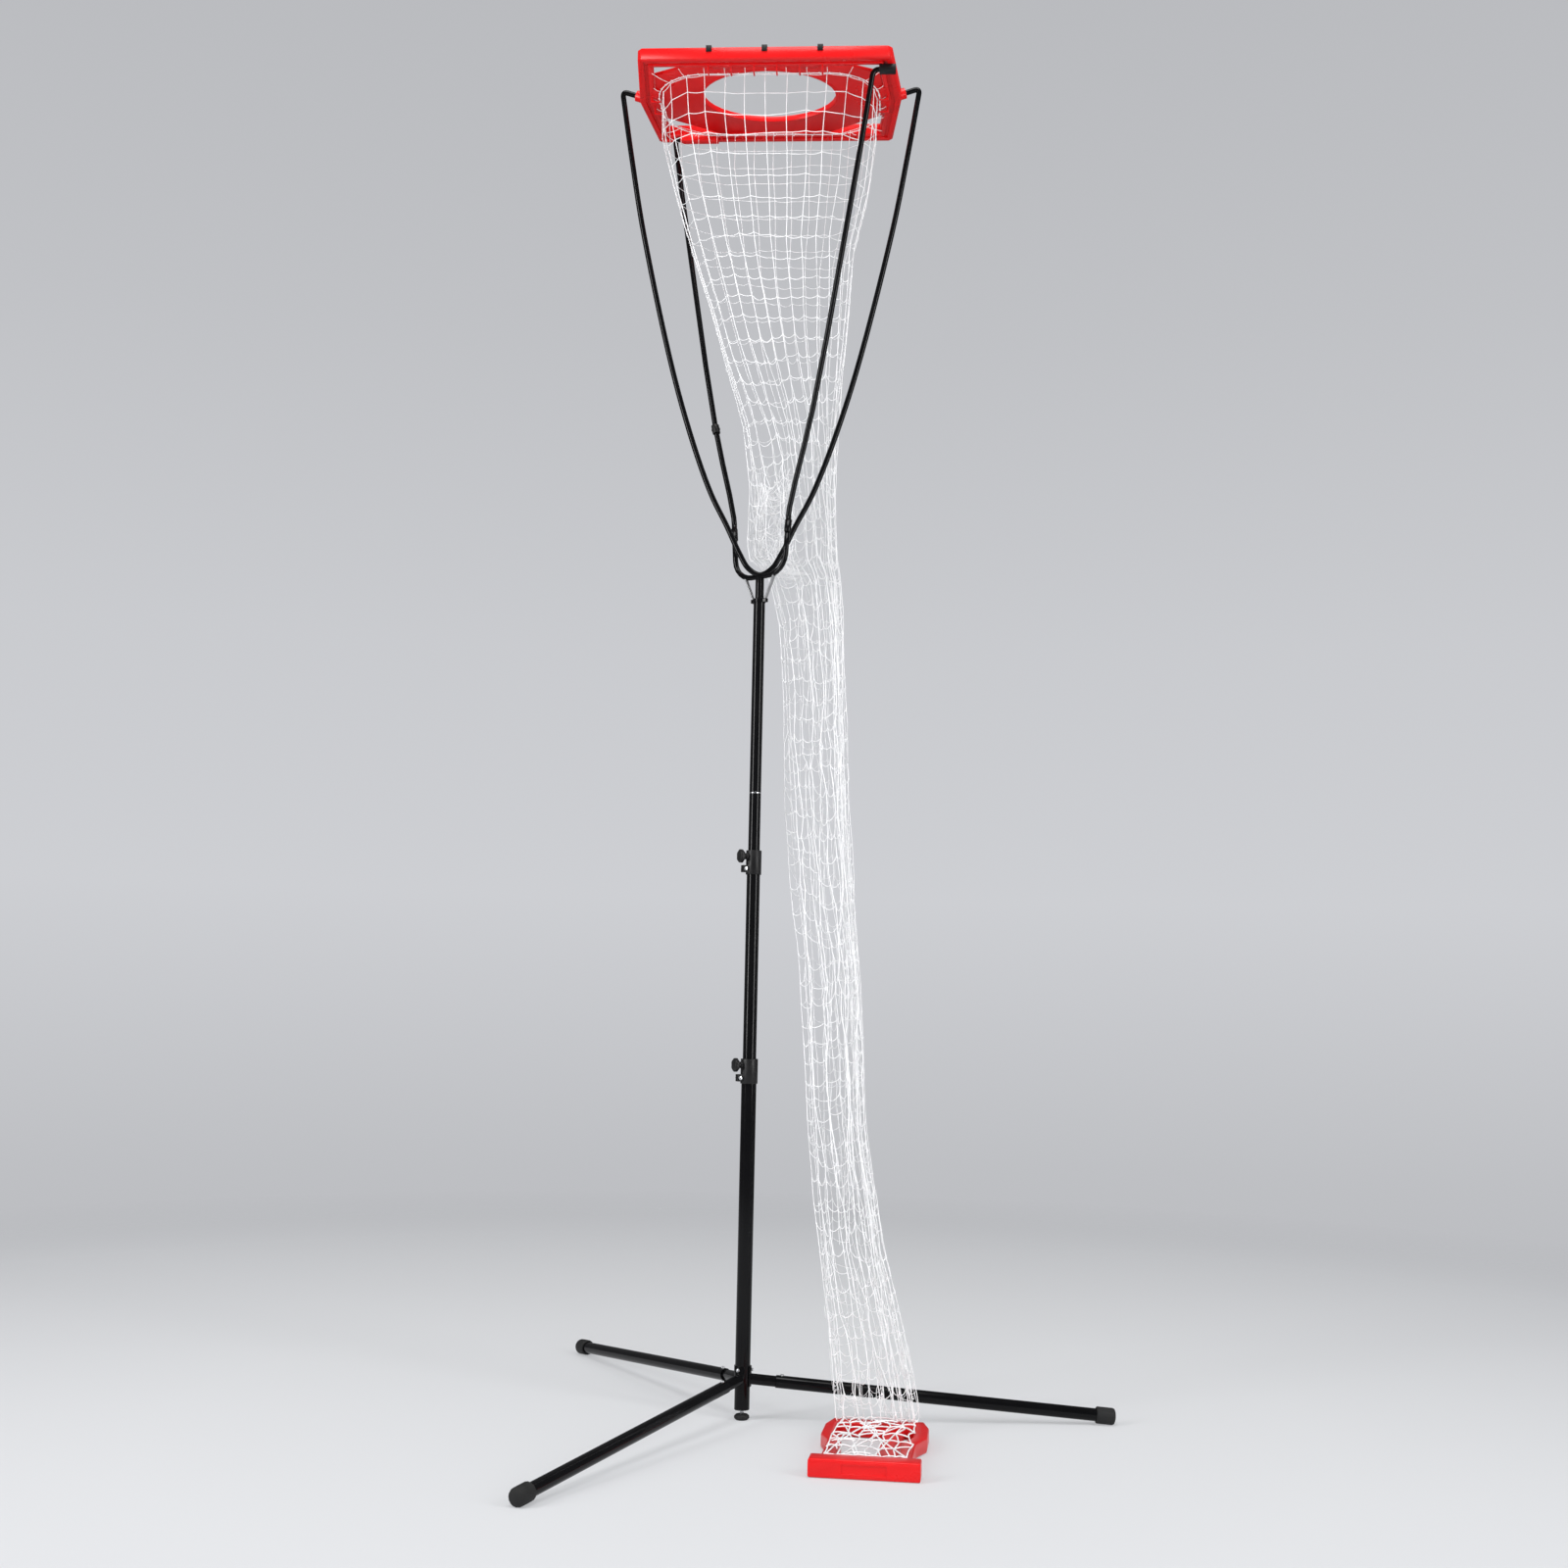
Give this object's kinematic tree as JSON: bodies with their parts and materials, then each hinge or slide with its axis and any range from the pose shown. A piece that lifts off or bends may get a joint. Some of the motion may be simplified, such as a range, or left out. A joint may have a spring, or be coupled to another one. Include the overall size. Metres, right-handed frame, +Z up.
{
  "type": "volleyball serving training net",
  "caption": "Catch net hung from a raised red target frame on a black telescopic stand, with a chute down to a floor tray.",
  "frame": {"origin": "on the floor, under the levelling foot, on the pole's axis", "axes": "+Z up the pole, +X to the side where the net's chute comes down, -Y to the front, where the tray lies"},
  "size_m": [1.241, 1.362, 2.922],
  "materials": {
    "black_paint": "gloss",
    "black_plastic": "satin",
    "black_rubber": "matte",
    "red_plastic": "gloss",
    "grey_steel": "satin",
    "bright_steel": "satin",
    "white_cord": "matte"
  },
  "bodies": {
    "base": {"pole_end_plug": "black_plastic", "lower_pole": "black_paint", "leg_stub_right": "black_paint", "leg_stub_rear": "black_paint", "leg_stub_front": "black_paint", "leg_tube_right": "black_paint", "leg_tube_rear": "black_paint", "leg_tube_front": "black_paint", "leg_cap_right": "black_rubber", "leg_cap_rear": "black_rubber", "leg_cap_front": "black_rubber", "hub_bolt_right": "bright_steel", "hub_bolt_rear": "bright_steel", "hub_bolt_front": "bright_steel", "lower_clamp_collar": "black_plastic", "lower_clamp_bolt": "bright_steel", "net_chute_lower": "white_cord", "net_chute_foot": "white_cord"},
    "foot": {"foot_pad": "black_rubber", "foot_stud": "bright_steel"},
    "button_right": {"leg_button_right": "bright_steel"},
    "button_rear": {"leg_button_rear": "bright_steel"},
    "button_front": {"leg_button_front": "bright_steel"},
    "lower_stud": {"lower_clamp_stud": "bright_steel"},
    "lower_knob": {"lower_clamp_knob": "black_plastic"},
    "middle": {"middle_pole": "black_paint", "upper_clamp_collar": "black_plastic", "upper_clamp_bolt": "bright_steel", "net_chute_upper": "white_cord"},
    "upper_stud": {"upper_clamp_stud": "bright_steel"},
    "upper_knob": {"upper_clamp_knob": "black_plastic"},
    "upper": {"upper_pole_lower_section": "black_paint", "upper_pole_upper_section": "black_paint", "pole_joint_spigot": "bright_steel", "fork_collar": "black_paint", "fork_stem": "black_paint", "gusset_near": "grey_steel", "gusset_far": "grey_steel", "side_yoke": "black_paint", "cross_yoke_base": "black_paint", "cross_yoke_prong_near": "black_paint", "cross_yoke_prong_far": "black_paint", "prong_clip": "black_plastic", "frame_near_bar": "red_plastic", "frame_far_bar": "red_plastic", "frame_right_side": "red_plastic", "frame_left_side": "red_plastic", "near_prong_socket": "black_plastic", "far_prong_socket": "red_plastic", "target_panel": "red_plastic", "panel_clip_left": "black_plastic", "panel_clip_middle": "black_plastic", "panel_clip_right": "black_plastic", "net_rim_cord": "white_cord", "net_funnel_front": "white_cord", "net_funnel_right": "white_cord", "net_funnel_rear": "white_cord", "net_funnel_left": "white_cord"},
    "tray": {"tray_frame": "red_plastic", "tray_net": "white_cord"}
  },
  "joints": [
    {"name": "foot_screw", "type": "slide", "parent": "base", "child": "foot", "axis": [0, 0, 1], "range_m": [-0.012, 0.008]},
    {"name": "middle_tube_slide", "type": "slide", "parent": "base", "child": "middle", "axis": [0, 0, 1], "range_m": [-0.39, 0], "deforming": ["net_chute_lower"]},
    {"name": "upper_tube_slide", "type": "slide", "parent": "middle", "child": "upper", "axis": [0, 0, 1], "range_m": [-0.53, 0], "deforming": ["net_chute_upper"]},
    {"name": "lower_stud_travel", "type": "slide", "parent": "base", "child": "lower_stud", "axis": [-0.8829, -0.4695, 0], "range_m": [0, 0.002]},
    {"name": "lower_knob_turn", "type": "hinge", "parent": "lower_stud", "child": "lower_knob", "pos_m": [0, 0, 0.731], "axis": [-0.8829, -0.4695, 0], "range_deg": [0, 722]},
    {"name": "upper_stud_travel", "type": "slide", "parent": "middle", "child": "upper_stud", "axis": [-0.8829, -0.4695, 0], "range_m": [0, 0.002]},
    {"name": "upper_knob_turn", "type": "hinge", "parent": "upper_stud", "child": "upper_knob", "pos_m": [0, 0, 1.176], "axis": [-0.8829, -0.4695, 0], "range_deg": [0, 722]},
    {"name": "right_button_press", "type": "slide", "parent": "base", "child": "button_right", "axis": [-0.0863, -0.0076, -0.9962], "range_m": [0, 0.004], "stiffness_N_per_m": 800, "springref_m": -0.001},
    {"name": "rear_button_press", "type": "slide", "parent": "base", "child": "button_rear", "axis": [0.0497, -0.071, -0.9962], "range_m": [0, 0.004], "stiffness_N_per_m": 800, "springref_m": -0.001},
    {"name": "front_button_press", "type": "slide", "parent": "base", "child": "button_front", "axis": [0.0366, 0.0785, -0.9962], "range_m": [0, 0.004], "stiffness_N_per_m": 800, "springref_m": -0.001},
    {"name": "tray_drag", "type": "slide", "parent": "base", "child": "tray", "axis": [0, -1, 0], "range_m": [-0.06, 0.15], "deforming": ["net_chute_foot"]}
  ],
  "couplings": [
    {"joint": "lower_knob_turn", "follows": "lower_stud_travel", "rad_per_m": 6283.1},
    {"joint": "upper_knob_turn", "follows": "upper_stud_travel", "rad_per_m": 6283.1}
  ]
}
